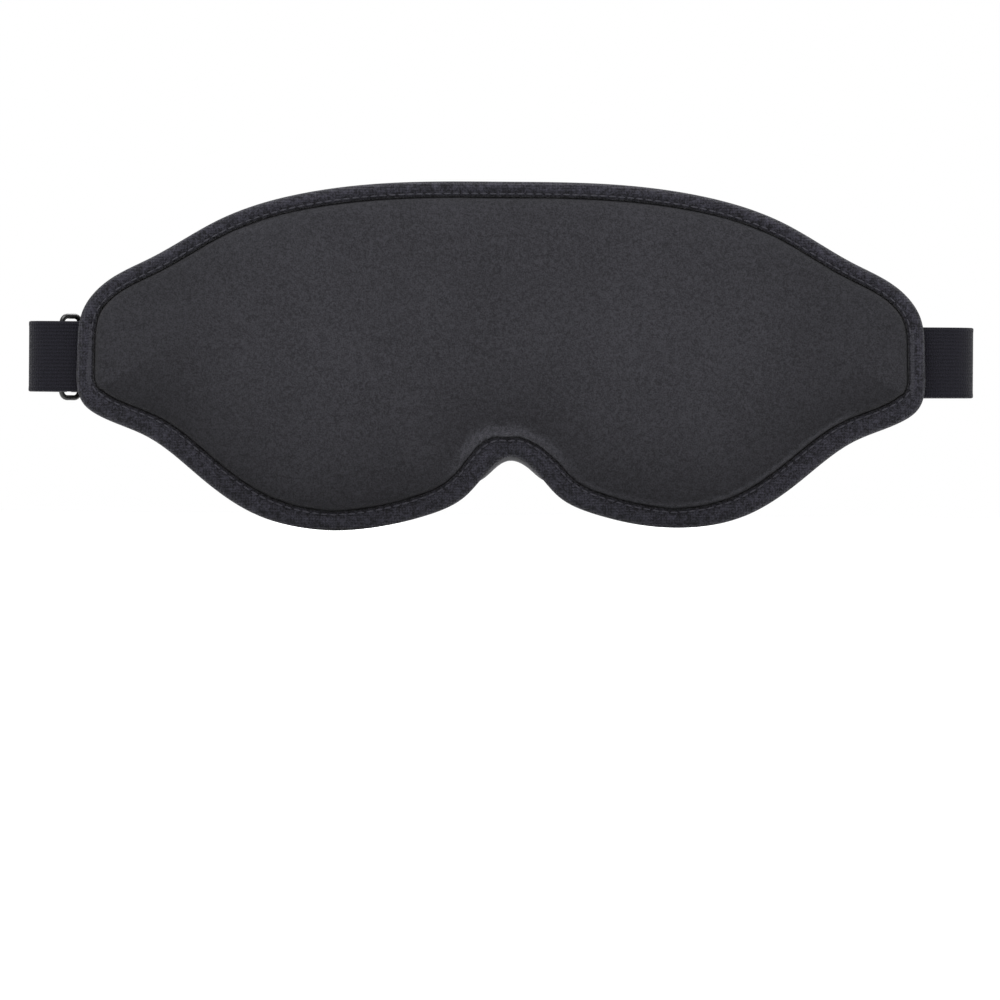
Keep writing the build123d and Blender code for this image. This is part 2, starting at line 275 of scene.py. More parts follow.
def columns(curve, across, up, left=None, right=None, crowd=0.5):
    """Points of a region bounded by a closed curve, in upright columns that crowd towards its rims."""
    x0, x1 = curve[:, 0].min() + 0.02, curve[:, 0].max() - 0.02
    x0 = x0 if left is None else max(x0, left)
    x1 = x1 if right is None else min(x1, right)
    k_max, k_min = curve[:, 0].argmax(), curve[:, 0].argmin()
    turned = np.roll(curve, -k_min, 0)
    cut = (k_max - k_min) % len(curve)
    upper, lower = turned[: cut + 1], np.vstack([turned[cut:], turned[:1]])
    if upper[:, 1].mean() < lower[:, 1].mean():
        upper, lower = lower, upper
    upper, lower = upper[upper[:, 0].argsort()], lower[lower[:, 0].argsort()]
    t = np.linspace(-1, 1, across)
    t = (1 - crowd) * t + crowd * np.sin(t * math.pi / 2)
    x = x0 + (x1 - x0) * (t + 1) / 2
    s = np.linspace(-1, 1, up)
    s = (1 - crowd) * s + crowd * np.sin(s * math.pi / 2)
    high, low = np.interp(x, upper[:, 0], upper[:, 1]), np.interp(x, lower[:, 0], lower[:, 1])
    z = low[:, None] + (high - low)[:, None] * (s[None, :] + 1) / 2
    return np.repeat(x[:, None], up, 1), z


def sheet_grid(x, y, z):
    return np.stack([x, y, z], axis=2)


def track(start, heading, moves, step=0.7):
    """Points along straight runs and arcs in the XY plane: ('go', length) or ('turn', radius, degrees)."""
    points, p, a = [np.array(start, float)], np.array(start, float), math.radians(heading)
    for move in moves:
        if move[0] == "go":
            n = max(2, int(move[1] / step))
            d = np.array([math.cos(a), math.sin(a)])
            points += [p + d * move[1] * k / n for k in range(1, n + 1)]
            p = points[-1]
        else:
            radius, sweep = move[1], math.radians(move[2])
            n = max(6, int(abs(sweep) * radius / step * 1.4), int(abs(move[2]) / 9))
            side = 1 if sweep > 0 else -1
            c = p + side * radius * np.array([-math.sin(a), math.cos(a)])
            for k in range(1, n + 1):
                b = a + sweep * k / n
                points.append(c - side * radius * np.array([-math.sin(b), math.cos(b)]))
            p, a = points[-1], a + sweep
    return np.array(points)


def ribbon(name, path, material, width=strap_h, thick=strap_t, start_length=0.0):
    """A flat elastic along a path, with slightly fuller selvedges; UV is in metres along and up."""
    tangent = np.gradient(path, axis=0)
    tangent /= np.linalg.norm(tangent, axis=1)[:, None]
    side = np.c_[-tangent[:, 1], tangent[:, 0]]
    run = start_length + np.r_[0, np.cumsum(np.linalg.norm(np.diff(path, axis=0), axis=1))]
    z = width / 2 * np.sin(np.linspace(-1, 1, 17) * math.pi / 2)
    inner = np.abs(z) / (width / 2)
    full = thick / 2 * np.where(inner > 0.999, 0.0, 0.86 + 0.14 * bell(inner - 0.93, 0.05))
    full = np.where((inner > 0.985) & (inner <= 0.999), full * 0.75, full)
    section = [(full[j], z[j]) for j in range(17)] + [(-full[j], z[j]) for j in range(15, 0, -1)]
    count = len(section)
    verts, uvs = [], []
    for i in range(len(path)):
        for n, up in section:
            spot = path[i] + side[i] * n
            verts.append((spot[0], spot[1], up))
            uvs.append((run[i], up))
    faces = grid_faces(len(path), count, round_cols=True)
    faces.append(tuple(range(count)))
    faces.append(tuple(range((len(path) - 1) * count, len(path) * count)))
    return piece(name, verts, faces, material, uvs)


# ---------------------------------------------------------------- finishes


class Value:
    """A number on a shader socket; an expression on values adds its Math nodes."""

    def __init__(self, look, socket):
        self.look, self.socket = look, socket

    def _with(self, operation, a, b=None):
        ins = {0: a} if b is None else {0: a, 1: b}
        return self.look.node("ShaderNodeMath", {"operation": operation}, ins)

    def __add__(self, other):
        return self._with("ADD", self, other)

    def __radd__(self, other):
        return self._with("ADD", other, self)

    def __sub__(self, other):
        return self._with("SUBTRACT", self, other)

    def __rsub__(self, other):
        return self._with("SUBTRACT", other, self)

    def __mul__(self, other):
        return self._with("MULTIPLY", self, other)

    def __rmul__(self, other):
        return self._with("MULTIPLY", other, self)

    def sine(self):
        return self._with("SINE", self)


class Look:
    """One material with its nodes."""

    def __init__(self, name, rough, sheen=0.0, specular=0.5, coat=0.0):
        self.material = bpy.data.materials.new(name)
        self.material.use_nodes = True
        self.tree = self.material.node_tree
        self.skin = self.tree.nodes["Principled BSDF"]
        self.skin.inputs["Roughness"].default_value = rough
        self.skin.inputs["Specular IOR Level"].default_value = specular
        self.skin.inputs["Sheen Weight"].default_value = sheen
        self.skin.inputs["Sheen Roughness"].default_value = 0.45
        self.skin.inputs["Coat Weight"].default_value = coat

    def node(self, kind, settings, inputs, out=0):
        made = self.tree.nodes.new(kind)
        for key, value in settings.items():
            if key == "stops":
                ramp = made.color_ramp.elements
                while len(ramp) < len(value):
                    ramp.new(0.5)
                for stop, (at, colour) in zip(ramp, value):
                    stop.position, stop.color = at, colour
            else:
                setattr(made, key, value)
        for key, value in inputs.items():
            self.feed(made.inputs[key], value)
        return Value(self, made.outputs[out])

    def feed(self, socket, value):
        if isinstance(value, Value):
            self.tree.links.new(value.socket, socket)
        else:
            socket.default_value = value

    def place(self):
        """Object coordinates, in metres."""
        return self.node("ShaderNodeTexCoord", {}, {}, "Object")

    def along(self):
        """The piece's own map: metres along it and across it."""
        return self.node("ShaderNodeTexCoord", {}, {}, "UV")

    def split(self, vector):
        made = self.node("ShaderNodeSeparateXYZ", {}, {0: vector})
        outs = made.socket.node.outputs
        return [Value(self, outs[k]) for k in range(3)]

    def noise(self, where, scale, detail=2.0, rough=0.5):
        ins = {"Vector": where, "Scale": scale, "Detail": detail, "Roughness": rough}
        return self.node("ShaderNodeTexNoise", {}, ins)

    def mix(self, amount, first, second):
        """A blend of two colours."""
        made = self.node("ShaderNodeMix", {"data_type": "RGBA"}, {}, 2)
        ins = made.socket.node.inputs
        self.feed(ins[0], amount)
        self.feed(ins[6], first)
        self.feed(ins[7], second)
        return made

    def colour(self, value, shaded=False):
        # Shaded colours are multiplied by the mesh's shade attribute, which holds painted light and shade.
        if shaded:
            shade = self.node("ShaderNodeAttribute", {"attribute_name": "shade"}, {}, "Fac")
            made = self.node("ShaderNodeMix", {"data_type": "RGBA", "blend_type": "MULTIPLY"}, {}, 2)
            ins = made.socket.node.inputs
            self.feed(ins[0], 1.0)
            self.feed(ins[6], value)
            self.feed(ins[7], shade)
            value = made
        self.feed(self.skin.inputs["Base Color"], value)

    def roughness(self, value):
        self.feed(self.skin.inputs["Roughness"], value)

    def bump(self, height, distance, strength=1.0):
        ins = {"Height": height, "Distance": distance, "Strength": strength}
        self.feed(self.skin.inputs["Normal"], self.node("ShaderNodeBump", {}, ins))


def tone(grey, blue=0.0):
    """A near-black cloth colour with a little blue in it."""
    return (grey * (1 - blue * 0.3), grey * (1 - blue * 0.4), grey * (1 + blue), 1.0)


def brushed_knit(name, grey, blue, grain, grain_depth, sheen, mottle=0.12):
    """Soft brushed jersey: fine nap, faint clouding and a little sheen at the rims."""
    look = Look(name, 0.95, sheen, 0.12)
    place = look.place()
    nap = look.noise(place, grain, 3.0, 0.65)
    tuft = look.noise(place, grain * 0.38, 2.0, 0.6)
    cloud = look.noise(place, 45.0, 2.0, 0.5)
    dark, light = tone(grey * (1 - mottle), blue), tone(grey * (1 + mottle), blue)
    amount = (nap - 0.5) * 3.2 + (tuft - 0.5) * 1.5 + (cloud - 0.5) * 0.4 + 0.5
    # The colour is multiplied by the painted light and shade in the mesh's shade attribute.
    look.colour(look.mix(amount, dark, light), True)
    look.bump(nap + tuft * 0.6, grain_depth, 0.8)
    return look.material


def tape_knit(name, grey, blue):
    """Stretch binding tape: small diagonal loops and a fuzzy nap."""
    look = Look(name, 0.9, 0.06, 0.12)
    place = look.place()
    x, _, z = look.split(place)
    nap = look.noise(place, 1700.0, 3.0, 0.65)
    loops = ((x + z) * 4200.0).sine() * ((x - z) * 4200.0).sine()
    fluff = look.noise(place, 650.0, 2.0, 0.6)
    amount = loops * 0.15 + (nap - 0.5) * 3.0 + (fluff - 0.5) * 1.8 + 0.42
    # The colour is multiplied by the painted light and shade in the mesh's shade attribute.
    look.colour(look.mix(amount, tone(grey * 0.35, blue), tone(grey * 2.0, blue)), True)
    look.bump(loops * 0.3 + nap + fluff, 0.0005, 0.8)
    return look.material


def satin(name, grey, blue):
    """Smooth tricot: very fine upright wales and a soft gloss."""
    look = Look(name, 0.6, 0.08, 0.25)
    place = look.place()
    x, _, _ = look.split(place)
    wales = (x * 9000.0).sine()
    nap = look.noise(place, 1800.0, 2.0, 0.5)
    # The colour is multiplied by the painted light and shade in the mesh's shade attribute.
    look.colour(look.mix(wales * 0.15 + nap, tone(grey * 0.93, blue), tone(grey * 1.07, blue)), True)
    look.bump(wales * 0.3 + nap * 0.7, 0.00008, 0.5)
    return look.material


def elastic(name, grey, blue):
    """Woven elastic: ribs along its length, a fine zigzag of rubber across, lighter on the ribs."""
    look = Look(name, 0.9, 0.05, 0.12)
    u, v, _ = look.split(look.along())
    ribs = (v * 6283.0).sine()
    picks = (u * 9000.0 + (v * 3141.0).sine() * 1.2).sine()
    nap = look.noise(look.along(), 1600.0, 3.0, 0.6)
    amount = ribs * 0.2 + picks * 0.15 + (nap - 0.5) * 1.4 + 0.45
    look.colour(look.mix(amount, tone(grey * 0.7, blue), tone(grey * 1.4, blue)))
    look.bump(ribs * 0.6 + picks * 0.3 + nap, 0.00025, 0.8)
    return look.material


def thread_look(name, grey, blue):
    look = Look(name, 0.7, 0.05, 0.2)
    nap = look.noise(look.place(), 2600.0, 2.0, 0.5)
    look.colour(look.mix(nap, tone(grey * 0.75, blue), tone(grey * 1.25, blue)))
    look.bump(nap, 0.0001, 0.6)
    return look.material


def enamel(name, grey, rough, grain):
    """Hard black finish with faint unevenness."""
    look = Look(name, rough, 0.0, 0.3, 0.1)
    nap = look.noise(look.place(), grain, 2.0, 0.5)
    look.colour(look.mix(nap, tone(grey * 0.8), tone(grey * 1.2)))
    look.roughness(nap * 0.15 + rough)
    look.bump(nap, 0.00003, 0.5)
    return look.material


COVER = brushed_knit("cover_knit", 0.0165, 0.12, 2300.0, 0.0003, 0.05, 0.42)
PAD = brushed_knit("pad_knit", 0.0175, 0.06, 2300.0, 0.0002, 0.04, 0.3)
LINING = brushed_knit("lining_knit", 0.0200, 0.12, 2300.0, 0.00015, 0.04, 0.15)
PATCH = brushed_knit("patch_knit", 0.027, 0.12, 1900.0, 0.0003, 0.05, 0.3)
TAPE = tape_knit("tape_knit", 0.0125, 0.22)
SATIN = satin("flap_tricot", 0.047, 0.05)
ELASTIC = elastic("strap_elastic", 0.0052, 0.38)
THREAD = thread_look("sewing_thread", 0.02, 0.2)
WIRE = enamel("ring_enamel", 0.004, 0.25, 900.0)
SLIDER = enamel("slider_plastic", 0.006, 0.35, 600.0)


# ---------------------------------------------------------------- front panel


def front_tape_width(n):
    """The tape shows narrow along the top, wider along the lobes and widest on the lower flanks."""
    return tape_width - 0.45 * n[..., 1] + 2.4 * np.clip(-n[..., 1], 0, None) * np.abs(n[..., 0])


def front_panel():
    x, z = columns(inset_outline(2.4), 270, 96)
    flat = np.c_[x.ravel(), z.ravel()]
    depth, near = depth_inside(flat, OUTLINE)
    t = depth - front_tape_width(OUTLINE_OUT[near])
    over = np.clip(t - 0.1, 0, None)
    rise = sum(full * (1 - np.exp(-over / reach)) for full, reach in ((2.0, 0.75), (1.0, 4.0), (2.3, 14.0)))
    fx, fz = flat[:, 0], flat[:, 1]
    domes = 1.6 * np.exp(-(((np.abs(fx) - 46) / 30) ** 2) - ((fz - 1) / 22) ** 2)
    uneven = 0.12 * ripple(fx, fz, 26, 3) * smooth(over / 8)
    y = y_core - 0.7 - rise - domes - uneven
    # Painted light and shade: lighter on the eye domes and along the top, darker towards the wings and on
    # the lower edges, which face down; the ripple is random tone.
    low_edge = bell(over, 13) * smooth(-OUTLINE_OUT[near][:, 1] * 2)
    shade = 0.94 + 0.10 * domes / 1.6 - 0.10 * smooth((np.abs(fx) - 70) / 25) - 0.24 * low_edge
    shade += 0.05 * smooth((fz - 18) / 20) + 0.02 * ripple(fx, fz, 20, 4)
    # Painted sheen: a bright band above the nose notch, and a thin painted highlight where the lower right
    # lobe rolls over.
    sheen_speckle = 0.7 + 0.3 * ripple(fx, fz, 1.6, 6)
    brow = bell(fx, 16, 4) * (fz < 0)
    shade += 1.9 * sheen_speckle * brow * bell(over - 1.0, 2.1)
    rolled = smooth((fx - 14) / 12) * (1 - smooth((fx - 92) / 12)) * (fz < -14)
    shade += 0.9 * sheen_speckle * rolled * bell(over - 0.9, 0.6)
    # Painted shade in the crease along the tape's inner edge.
    shade *= 1 - 0.7 * bell(np.clip(t, 0, None), 0.28)
    near_side = sheet_grid(x, y.reshape(x.shape), z)
    far_side = sheet_grid(x, np.full_like(x, y_core - 0.05), z)
    return solid_between("front_panel", near_side, far_side, COVER, shade)


panel = front_panel()
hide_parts("outer_cover", "front_foam")
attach(panel, "mask")


# ---------------------------------------------------------------- bound edge


def binding():
    """Tape folded round the edge: a full outer roll and two stitched-down legs."""
    count = 1480
    curve = closed_spline(silhouette_points(), count)
    out = outward(curve)
    stitches = count // 6
    verts, tones = [], []
    for i in range(count):
        n = out[i]
        wide = float(front_tape_width(n))
        # Painted light: the tape is lighter along the top and darker along the bottom.
        lit_from_above = 1 + 0.10 * n[1]
        turn = 2 * math.pi * i / count
        pull = 0.5 + 0.5 * math.cos(stitches * turn)
        dip = 0.28 * pull
        wave = 0.12 * math.sin(17.3 * turn) + 0.08 * math.sin(41 * turn)
        front, back = y_front_tape, y_back_tape
        section = [
            (wide - 0.1 * pull, front + 0.55),
            (wide - 0.25, front + 0.05),
            (wide - 0.8, front - 0.10 + dip),
            (wide - 1.3, front - 0.12 + dip * 0.6),
            (wide - 2.2, front - 0.42 - wave),
            (2.0, front - 0.42 - wave),
            (1.0, front - 0.10),
            (0.35, front + 0.65),
            (0.02, front + 1.6),
            (0.0, (front + back) / 2),
            (0.02, back - 1.5),
            (0.35, back - 0.6),
            (1.0, back + 0.15),
            (2.0, back + 0.45 + wave),
            (2.8, back + 0.40 + wave),
            (3.6, back + 0.12 - dip * 0.6),
            (4.1, back + 0.08 - dip),
            (4.75, back - 0.05),
            (tape_width, back - 0.5),
            (4.6, back - 0.95),
            (1.4, back - 1.0),
            (0.9, (front + back) / 2),
            (1.4, front + 1.0),
            (wide - 0.4, front + 0.95),
        ]
        for inset, y in section:
            spot = curve[i] - n * inset
            verts.append((spot[0], y, spot[1]))
        # Painted shade: darker in the dimple at each stitch, dark creases at the inner edges of both legs,
        # and darker on the hidden inside of the fold.
        stitch_dimple_shade = 1 - 0.3 * pull
        front_leg = [0.35, 0.55, 0.85 * stitch_dimple_shade, 0.9 * stitch_dimple_shade]
        back_leg = [0.85 * stitch_dimple_shade, 0.8, 0.5, 0.2, 0.2]
        tones += front_leg + [lit_from_above] * 12 + back_leg + [0.5] * 3
    faces = grid_faces(count, len(section), round_rows=True, round_cols=True)
    return piece("edge_tape", verts, faces, TAPE, shade=np.array(tones))


tape = binding()
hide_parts("edge_binding")
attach(tape, "mask")


# ---------------------------------------------------------------- pad and lining


# The pad's rounded ends have a middle, a half height and a bow; the dent has a lower end and a length.
pad_half = size_of("pad_cover")[1][0]
end_middle, end_half, end_bow = 2.7, 21.9, 7.25
dent_foot, dent_length = -2.4, 38.8


def pad_end(x, z):
    """Distance inside the pad's rounded ends."""
    lean = (z - end_middle) / end_half
    reach = pad_half - end_bow * lean**2
    return (reach - np.abs(x)) / np.sqrt(1 + (2 * end_bow * lean / end_half) ** 2)


def dent_width(u):
    """Half the dent's width, from its pointed lower end (0) to its round cap (1)."""
    cap = np.sqrt(np.clip(1 - (np.clip(u - 0.85, 0, 1) / 0.15) ** 2, 0.0004, 1))
    return 5.0 * np.minimum(1, (np.clip(u, 0, 1) / 0.72 + 1e-6) ** 0.75) * cap + 0.3


def groove(x, z):
    """The upright dent in the middle of the pad: a round cap at the top, narrowing to a point below."""
    u = np.clip((z - dent_foot) / dent_length, 0, 1)
    wide = dent_width(u)
    across = np.clip(np.abs(x - 0.5 * (1 - u)) / wide, 0, 1.6)
    floor = np.where(across < 1, (1 - across**2.4) ** 0.9, 0.0)
    lip = 0.35 * bell(across - 1.12, 0.16)
    deep = (1.1 + 2.3 * u**1.3) * smooth(u * 7) * (u > 0) * (u < 1)
    return deep * floor - lip * smooth(u * 4) * smooth((1 - u) * 12)


def cup_side(x, z, side):
    """Distance outside one patch, and how far up from its middle, from -1 to 1."""
    patch, _ = depth_inside(np.c_[x, z], egg(side * eye_x))
    rise = (z - eye_z) / np.hypot(x - side * eye_x, z - eye_z).clip(1)
    return -patch, rise


def pad_wrinkles(x, z, depth):
    """Fine folds: fanned out round the cups and the dent's lower end, and square to the upper edge."""
    rim = np.clip(depth - pad_edge, 0, None)
    total = np.zeros_like(x)
    for side in (-1, 1):
        away, _ = cup_side(x, z, side)
        angle = np.arctan2(z - eye_z, x - side * eye_x)
        fade = bell(away - 6, 6.5) * (away > 0.3)
        pleat = np.sin(61 * angle + 2.6 * ripple(x, z, 9, 11 + side))
        pleat *= 0.55 + 0.6 * ripple(x, z, 11, 21 + side)
        total += 0.13 * fade * pleat
    fan = np.arctan2(x, z + 12.0)
    total += 0.17 * np.sin(fan * 52) * bell(x, 9.5) * bell(z - 1, 8.0)
    folds = np.sin(x * 1.9 + 2.2 * ripple(x, z, 14, 8)) * (0.5 + 0.6 * ripple(x, z * 0.3, 9, 9))
    total += 0.16 * folds * bell(rim - 3.5, 5.0)
    streaks = np.sin(x * 2.6 + 1.5 * ripple(x, z, 16, 14)) * (0.3 + 0.7 * ripple(x, z * 0.4, 12, 15))
    return total + 0.04 * streaks * smooth(rim / 4)


def pad_height(x, z, depth):
    """The worn side: a rounded pad, two cups that fall to the patches, and the upright dent."""
    full = -y_lining
    rim = np.clip(depth - pad_edge, 0, None)
    end = np.clip(pad_end(x, z), 0, None)
    by_rim = full * (0.52 * (1 - np.exp(-rim / 1.5)) + 0.48 * (1 - np.exp(-rim / 10.0)))
    by_end = full * (0.14 * (1 - np.exp(-end / 0.7)) + 0.86 * (1 - np.exp(-end / 15.0)))
    y = y_lining + soft_min(by_rim, by_end, 1.2)
    for side in (-1, 1):
        away, _ = cup_side(x, z, side)
        base = size_of("eye_patch_right")[1][1]
        t = np.clip(away / 9.8, 0, 1)
        bowl = base - 0.3 - base * (1 - (1 - t) ** 2.5) * 1.03
        y = np.where(away < 10.5, soft_min(y, bowl, 1.3), y)
    return y - groove(x, z) + 0.16 * ripple(x, z, 22, 5) * smooth(rim / 6)


def pad_painted_light(x, z, depth, wrinkles):
    """Painted light and shade on the pad's cloth: hollows are painted dark, the dent's floor gets a painted
    highlight.
    """
    rim = np.clip(depth - pad_edge, 0, None)
    # Painted shading that follows the fine folds, and lighter towards the top; the ripple is random tone.
    shade = 0.92 + 1.5 * wrinkles + 0.16 * smooth((z - 12) / 16) + 0.03 * ripple(x, z, 18, 51)
    for side in (-1, 1):
        away, rise = cup_side(x, z, side)
        near = np.clip(away, 0, None)
        # Painted shadow over each cup, heaviest above the patch.
        shade -= 0.50 * bell(near, 4.6) * (0.18 + 0.82 * smooth(rise * 0.8 + 0.45))
        shade -= 0.14 * bell(near, 10.0) * smooth(rise + 0.4)
    u = (z - dent_foot) / dent_length
    in_dent = smooth(u * 9) * smooth((1.02 - u) * 20)
    across = x / dent_width(u)
    # Painted highlight on the dent's floor, painted shade on its flanks, its round cap and its lower end.
    shade += 0.5 * bell(across - 0.15, 0.55) * bell(u - 0.70, 0.2)
    shade += 0.12 * bell(across, 0.7) * in_dent
    shade -= 0.42 * bell(across + 0.82, 0.24) * in_dent
    shade -= 0.20 * bell(across - 0.95, 0.18) * in_dent
    shade -= 0.60 * bell(x, 3.6) * bell(u - 0.965, 0.035)
    shade -= 0.30 * bell(x, 3.0) * bell(u - 0.12, 0.10)
    # Painted shadow above the nose flap's middle, and painted shade at the pad's rounded ends and along its
    # rim.
    shade -= 0.62 * bell(x, 12) * bell(z + 18.0, 3.4)
    shade -= 0.22 * bell(x, 30) * bell(z + 15, 9)
    shade -= 0.30 * bell(np.clip(pad_end(x, z), 0, None), 0.8)
    shade *= 1 - 0.7 * bell(rim, 0.9)
    return np.clip(shade, 0.12, 2.0)


def contoured_pad():
    x, z = columns(inset_outline(3.2), 360, 136, -99.4, 99.4, 0.3)
    flat_x, flat_z = x.ravel(), z.ravel()
    depth, _ = depth_inside(np.c_[flat_x, flat_z], OUTLINE)
    wrinkles = pad_wrinkles(flat_x, flat_z, depth)
    y = np.maximum(pad_height(flat_x, flat_z, depth) + wrinkles, y_lining + 0.12)
    near_side = sheet_grid(x, y.reshape(x.shape), z)
    far_side = sheet_grid(x, np.full_like(x, y_lining + 0.02), z)
    shade = pad_painted_light(flat_x, flat_z, depth, wrinkles)
    return solid_between("contoured_pad", near_side, far_side, PAD, shade)


pad = contoured_pad()
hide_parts("pad_cover", "memory_foam_pad")
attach(pad, "mask")


def wing_lining():
    x, z = columns(inset_outline(2.6), 150, 50)
    fx, fz = x.ravel(), z.ravel()
    depth, _ = depth_inside(np.c_[fx, fz], OUTLINE)
    puff = 0.9 * (1 - np.exp(-np.clip(depth - lining_edge, 0, None) / 1.2)) + 0.10 * ripple(fx, fz, 17, 31)
    puff *= smooth((np.abs(fx) - 80) / 12)
    puff *= 1 - 0.8 * bell(pad_end(fx, fz), 1.2)
    y = y_lining + puff.reshape(x.shape)
    # Painted shade: dark along the lining's edge crease and where it meets the pad's rounded end; the
    # ripple is random tone.
    shade = 1 - 0.75 * bell(np.clip(depth - lining_edge, 0, None), 0.8) + 0.03 * ripple(fx, fz, 9, 33)
    shade -= 0.35 * bell(pad_end(fx, fz), 0.9)
    far_side = sheet_grid(x, np.full_like(x, y_core), z)
    return solid_between("wing_lining", sheet_grid(x, y, z), far_side, LINING, np.clip(shade, 0.1, 2))


lining = wing_lining()
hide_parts("inner_lining")
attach(lining, "mask")


def eye_patch(side):
    """A soft disc with a crisp rounded rim in the bottom of the cup."""
    name = "eye_patch_right" if side > 0 else "eye_patch_left"
    low, high = size_of(name)
    x0, z0 = side * eye_x, (low[2] + high[2]) / 2
    rolled = [(-0.55, -0.9), (0.0, -0.5), (0.15, 0.1), (0.05, 0.55)]
    rolled += [(-0.2, 0.8), (-0.5, 0.85), (-0.9, 0.72), (-1.6, 0.55)]
    verts, count = [], 220
    base = high[1]
    for grow, lift in rolled:
        curve = egg(side * eye_x, grow, count)
        verts += [(px, base + lift, pz) for px, pz in curve]
    inner = egg(side * eye_x, -1.6, count)
    for share in np.linspace(0.93, 0.06, 22):
        curve = (inner - (x0, z0)) * share + (x0, z0)
        dish = 0.52 + 0.25 * (1 - share**2) + 0.05 * ripple(curve[:, 0], curve[:, 1], 9, 41)
        verts += [(px, base + d, pz) for (px, pz), d in zip(curve, dish)]
    total = len(verts) // count
    faces = grid_faces(total, count, round_cols=True)
    faces.append(tuple(range(count)))
    faces.append(tuple(range((total - 1) * count, total * count)))
    tones = np.ones((total, count))
    # Painted shade in the crevice round the patch and a painted highlight on its rounded rim.
    tones[:3], tones[3:6], tones[6] = 0.3, 1.75, 1.3
    shape_name = "patch_right" if side > 0 else "patch_left"
    obj = piece(shape_name, verts, faces, PATCH, shade=tones.ravel())
    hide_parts(name)
    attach(obj, "mask")
    return obj


for which in (-1, 1):
    eye_patch(which)


# ---------------------------------------------------------------- stitching


def stitch_tree():
    """Stitches set out along a curve at an even spacing, each a short rounded thread."""
    tree = bpy.data.node_groups.new("stitch_row", "GeometryNodeTree")
    tree.interface.new_socket("Geometry", in_out="INPUT", socket_type="NodeSocketGeometry")
    for name, kind in (
        ("Spacing", "NodeSocketFloat"),
        ("Size", "NodeSocketVector"),
        ("Turn", "NodeSocketVector"),
        ("Material", "NodeSocketMaterial"),
    ):
        tree.interface.new_socket(name, in_out="INPUT", socket_type=kind)
    tree.interface.new_socket("Geometry", in_out="OUTPUT", socket_type="NodeSocketGeometry")
    nodes = tree.nodes
    start = nodes.new("NodeGroupInput")
    end = nodes.new("NodeGroupOutput")
    points = nodes.new("GeometryNodeCurveToPoints")
    points.mode = "LENGTH"
    ball = nodes.new("GeometryNodeMeshUVSphere")
    ball.inputs["Segments"].default_value = 7
    ball.inputs["Rings"].default_value = 6
    ball.inputs["Radius"].default_value = 1.0
    shape = nodes.new("GeometryNodeTransform")
    place = nodes.new("GeometryNodeInstanceOnPoints")
    turn = nodes.new("GeometryNodeRotateInstances")
    turn.inputs["Local Space"].default_value = True
    real = nodes.new("GeometryNodeRealizeInstances")
    smooth_shade = nodes.new("GeometryNodeSetShadeSmooth")
    paint = nodes.new("GeometryNodeSetMaterial")
    for source, out, target, into in (
        (start, "Geometry", points, "Curve"),
        (start, "Spacing", points, "Length"),
        (ball, "Mesh", shape, "Geometry"),
        (start, "Size", shape, "Scale"),
        (points, "Points", place, "Points"),
        (points, "Rotation", place, "Rotation"),
        (shape, "Geometry", place, "Instance"),
        (place, "Instances", turn, "Instances"),
        (start, "Turn", turn, "Rotation"),
        (turn, "Instances", real, "Geometry"),
        (real, "Geometry", smooth_shade, "Geometry"),
        (smooth_shade, "Geometry", paint, "Geometry"),
        (start, "Material", paint, "Material"),
        (paint, "Geometry", end, "Geometry"),
    ):
        tree.links.new(source.outputs[out], target.inputs[into])
    return tree


STITCHES = stitch_tree()


def sew(name, lines, spacing, size, turn, closed):
    """Threads along one or more lines of points, made a plain mesh."""
    curve = bpy.data.curves.new(name + "_line", "CURVE")
    curve.dimensions = "3D"
    for line in lines:
        spline = curve.splines.new("POLY")
        spline.points.add(len(line) - 1)
        spline.points.foreach_set("co", np.c_[settle(line) * MM, np.ones(len(line))].ravel())
        spline.use_cyclic_u = closed
    guide = bpy.data.objects.new(name + "_line", curve)
    bpy.context.collection.objects.link(guide)
    rows = guide.modifiers.new("rows", "NODES")
    rows.node_group = STITCHES
    values = {"Spacing": spacing * MM, "Size": [v * MM for v in size], "Turn": turn, "Material": THREAD}
    for item in STITCHES.interface.items_tree:
        if item.in_out == "INPUT" and item.name in values:
            rows[item.identifier] = values[item.name]
    guide.update_tag()
    graph = bpy.context.evaluated_depsgraph_get()
    mesh = bpy.data.meshes.new_from_object(guide.evaluated_get(graph))
    mesh.name = name
    bpy.data.objects.remove(guide)
    if not mesh.materials:
        mesh.materials.append(THREAD)
    obj = bpy.data.objects.new(name, mesh)
    bpy.context.collection.objects.link(obj)
    return obj


def edge_row(inset, y, front):
    """The seam line that runs round the mask, inset from its edge."""
    wide = front_tape_width(OUTLINE_OUT) if front else np.full(len(OUTLINE), tape_width)
    spots = OUTLINE - OUTLINE_OUT * (wide - inset)[:, None]
    return np.c_[spots[:, 0], np.full(len(spots), y), spots[:, 1]]


stitch_size, no_turn = (0.26, 0.26, 1.05), (0, 0, 0)
front_line = edge_row(0.95, y_front_tape - 0.02, True)
front_row = sew("front_stitches", [front_line], 2.6, stitch_size, no_turn, True)
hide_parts("binding_stitch_front")
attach(front_row, "mask")
back_line = edge_row(0.9, y_back_tape - 0.02, False)
back_row = sew("back_stitches", [back_line], 2.6, stitch_size, no_turn, True)
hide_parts("binding_stitch_back")
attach(back_row, "mask")


# ---------------------------------------------------------------- elastic strap


